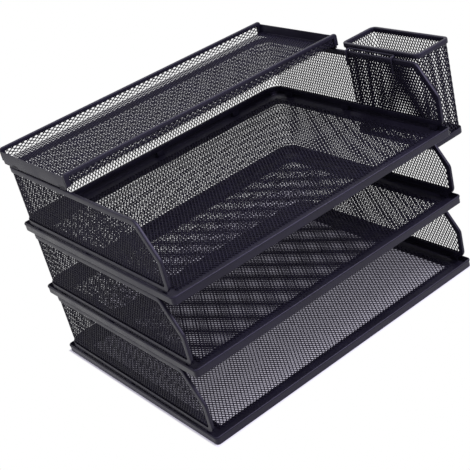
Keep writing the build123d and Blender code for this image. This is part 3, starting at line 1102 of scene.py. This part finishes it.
@dataclass
class Studio:
    """A plain white table top under soft light, and the photograph's camera."""

    focal: float = 1093.14
    image_width: float = 470.0
    sensor: float = 36.0
    clip: tuple[float, float] = (0.01, 50.0)
    place: tuple[float, float, float] = (-0.48977, -0.77170, 0.56616)
    right: tuple[float, float, float] = (0.7582, -0.6095, -0.2316)
    down: tuple[float, float, float] = (-0.4574, -0.2439, -0.8552)
    floor_half: float = 4.0
    shadow_reach: float = 0.002
    # Painted shade in the floor's glow: how much of the glow is left under the trays, front to
    # back, and how far behind them it stays dim.
    shade_depth: float = 0.11
    shade_front_share: float = 0.37
    shade_back_share: float = 0.23
    back_reach: float = 0.15
    back_start: float = 0.04
    left_start: float = 0.1
    # Painted shade colour: the floor's glow turns this lilac where it is dimmed.
    shade_tint_span: tuple[float, float] = (0.45, 0.6)
    shade: str = "#f0ecff"
    white: str = "#ffffff"
    table: str = "#f4f4f4"
    daylight: str = "#f1edff"
    room_light: float = 0.34
    plain_white: float = 1.0
    aim_height: float = 0.1
    lamps: tuple[SoftBox, ...] = (
        SoftBox("overhead_soft_box", (-0.15, -0.30, 1.3), 0.9, 8.0),
        SoftBox("front_soft_box", (0.7, -0.9, 1.2), 0.6, 21.0),
        SoftBox("left_soft_box", (-1.3, -0.2, 0.9), 0.9, 1.6),
    )

    def build(self) -> None:
        """Set up floor, world, lamps and camera."""
        self.build_floor()
        self.build_world()
        self.build_lamps()
        self.build_camera()
        bpy.context.scene.view_settings.view_transform = "Standard"

    def seen(self, tree: bpy.types.NodeTree) -> bpy.types.NodeSocket:
        """Tell rays that look at the background, straight or in gloss or glass, from the rest.

        Args:
            tree: the node tree of the floor or the world.

        Returns:
            A socket that is one for such rays, and nought for those that light the object.
        """
        rays = add_node(tree, "ShaderNodeLightPath")
        found = rays.outputs["Is Camera Ray"]
        for kind in ("Is Glossy Ray", "Is Transmission Ray"):
            found = add_node(tree, "ShaderNodeMath", {"operation": "MAXIMUM"},
                             (found, rays.outputs[kind])).outputs[0]
        return found

    def build_floor(self) -> None:
        """Lay the white floor: it takes the object's shadow near by, and is plain white beyond."""
        mesh = bpy.data.meshes.new("table_top")
        corners = [(self.floor_half * side, self.floor_half * end, 0) for side, end in QUARTERS]
        mesh.from_pydata(corners, [], [range(len(corners))])
        floor = bpy.data.objects.new("table_top", mesh)
        bpy.context.scene.collection.objects.link(floor)
        material = bpy.data.materials.new("matt_white_table_top")
        material.use_nodes = True
        tree = material.node_tree
        tree.nodes.clear()
        low, high = CAD_BOX
        # How far a place lies outside the trays' footprint.
        place = add_node(tree, "ShaderNodeTexCoord").outputs["Object"]
        foot = add_node(tree, "ShaderNodeVectorMath", {"operation": "ABSOLUTE"}, (place,))
        past = add_node(tree, "ShaderNodeVectorMath", {"operation": "SUBTRACT"},
                        (foot.outputs[0], (-low[0], high[1], 0.0)))
        out = add_node(tree, "ShaderNodeVectorMath", {"operation": "MAXIMUM"},
                       (past.outputs[0], (0.0, 0.0, 0.0)))
        away = add_node(tree, "ShaderNodeVectorMath", {"operation": "LENGTH"}, (out.outputs[0],))
        # Painted shade: under the trays the floor's white glow falls off from the open front to the
        # back, where less light comes in.
        spot = add_node(tree, "ShaderNodeSeparateXYZ", Vector=place)
        under = add_node(tree, "ShaderNodeMapRange", Value=spot.outputs["Y"], From_Min=low[1],
                         From_Max=low[1] + self.shade_depth, To_Min=self.shade_front_share,
                         To_Max=self.shade_back_share)
        # Painted shade behind the object: the glow stays dim further out, over the floor's real
        # shadow, and shows through the meshes.
        behind = add_node(tree, "ShaderNodeMapRange", Value=spot.outputs["Y"], From_Min=high[1],
                          From_Max=high[1] + self.back_start, To_Min=0.0, To_Max=self.back_reach)
        farther = add_node(tree, "ShaderNodeMath", {"operation": "MAXIMUM"},
                           (behind.outputs["Result"], self.shadow_reach))
        reach = add_node(tree, "ShaderNodeMapRange", Value=spot.outputs["X"], From_Min=low[0],
                         From_Max=low[0] + self.left_start, To_Min=self.shadow_reach,
                         To_Max=farther.outputs[0])
        fade = add_node(tree, "ShaderNodeMapRange", {"interpolation_type": "SMOOTHSTEP"},
                        Value=away.outputs["Value"], From_Min=0.0,
                        From_Max=reach.outputs["Result"], To_Min=under.outputs["Result"],
                        To_Max=1.0)
        # Painted shade tint: where the glow is dimmed it turns from white to a cool lilac.
        shade_tint = add_node(tree, "ShaderNodeValToRGB", Fac=fade.outputs["Result"])
        for stop, share, colour in zip(shade_tint.color_ramp.elements, self.shade_tint_span,
                                       (self.shade, self.white)):
            stop.position, stop.color = share, linear(colour)
        shown = add_node(tree, "ShaderNodeMath", {"operation": "MULTIPLY"},
                         (self.seen(tree), fade.outputs["Result"]))
        matt = add_node(tree, "ShaderNodeBsdfDiffuse", Color=linear(self.table))
        white = add_node(tree, "ShaderNodeEmission", Color=shade_tint.outputs["Color"],
                         Strength=self.plain_white)
        mix = add_node(tree, "ShaderNodeMixShader", None,
                       (shown.outputs[0], matt.outputs[0], white.outputs[0]))
        add_node(tree, "ShaderNodeOutputMaterial", Surface=mix.outputs[0])
        mesh.materials.append(material)

    def build_world(self) -> None:
        """Surround: plain white to the eye and in the gloss, and a soft fill for the rest."""
        world = bpy.data.worlds.new("white_studio")
        bpy.context.scene.world = world
        world.use_nodes = True
        tree = world.node_tree
        tree.nodes.clear()
        room = add_node(tree, "ShaderNodeBackground", Color=linear(self.daylight),
                        Strength=self.room_light)
        white = add_node(tree, "ShaderNodeBackground", Color=linear(self.white),
                         Strength=self.plain_white)
        final = add_node(tree, "ShaderNodeMixShader", None,
                         (self.seen(tree), room.outputs[0], white.outputs[0]))
        add_node(tree, "ShaderNodeOutputWorld", Surface=final.outputs[0])

    def build_lamps(self) -> None:
        """Hang the lamps: one overhead, one in front that lights the hems, and a weak one left."""
        for box in self.lamps:
            lamp = bpy.data.lights.new(box.name, "AREA")
            lamp.shape, lamp.size, lamp.energy = "SQUARE", box.size, box.power
            lamp.color = linear(self.daylight)[:3]
            holder = bpy.data.objects.new(box.name, lamp)
            bpy.context.scene.collection.objects.link(holder)
            aim = Vector((0, 0, self.aim_height)) - Vector(box.spot)
            turn = aim.to_track_quat("-Z", "Y").to_matrix().to_4x4()
            holder.matrix_world = Matrix.Translation(box.spot) @ turn

    def build_camera(self) -> None:
        """Set the camera where the photograph was taken from."""
        lens = bpy.data.cameras.new("photograph_camera")
        lens.sensor_width = self.sensor
        lens.lens = self.focal / self.image_width * self.sensor
        lens.clip_start, lens.clip_end = self.clip
        camera = bpy.data.objects.new("photograph_camera", lens)
        bpy.context.scene.collection.objects.link(camera)
        right = Vector(self.right).normalized()
        up = -(Vector(self.down) - right * Vector(self.down).dot(right)).normalized()
        turn = Matrix((right, up, right.cross(up))).transposed().to_4x4()
        camera.matrix_world = Matrix.Translation(self.place) @ turn
        bpy.context.scene.camera = camera


def main() -> None:
    """Build every sub-assembly in order."""
    logging.basicConfig(level=logging.INFO, format="%(name)s: %(message)s")
    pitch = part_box("middle_base_frame")[1][2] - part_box("bottom_base_frame")[1][2]
    trays = (("bottom", Body.BOTTOM), ("middle", Body.MIDDLE), ("top", Body.TOP))
    for tier, (name, body) in enumerate(trays):
        tabs = StackingTabs()
        places = tabs.shelf_places if body is Body.TOP else tabs.tray_places
        MeshTray(name, tier * pitch, body, tier > 0, places, stacking=tabs).build()
    TopShelf().build()
    PenCup().build()
    Studio().build()


if __name__ == "__main__":
    main()
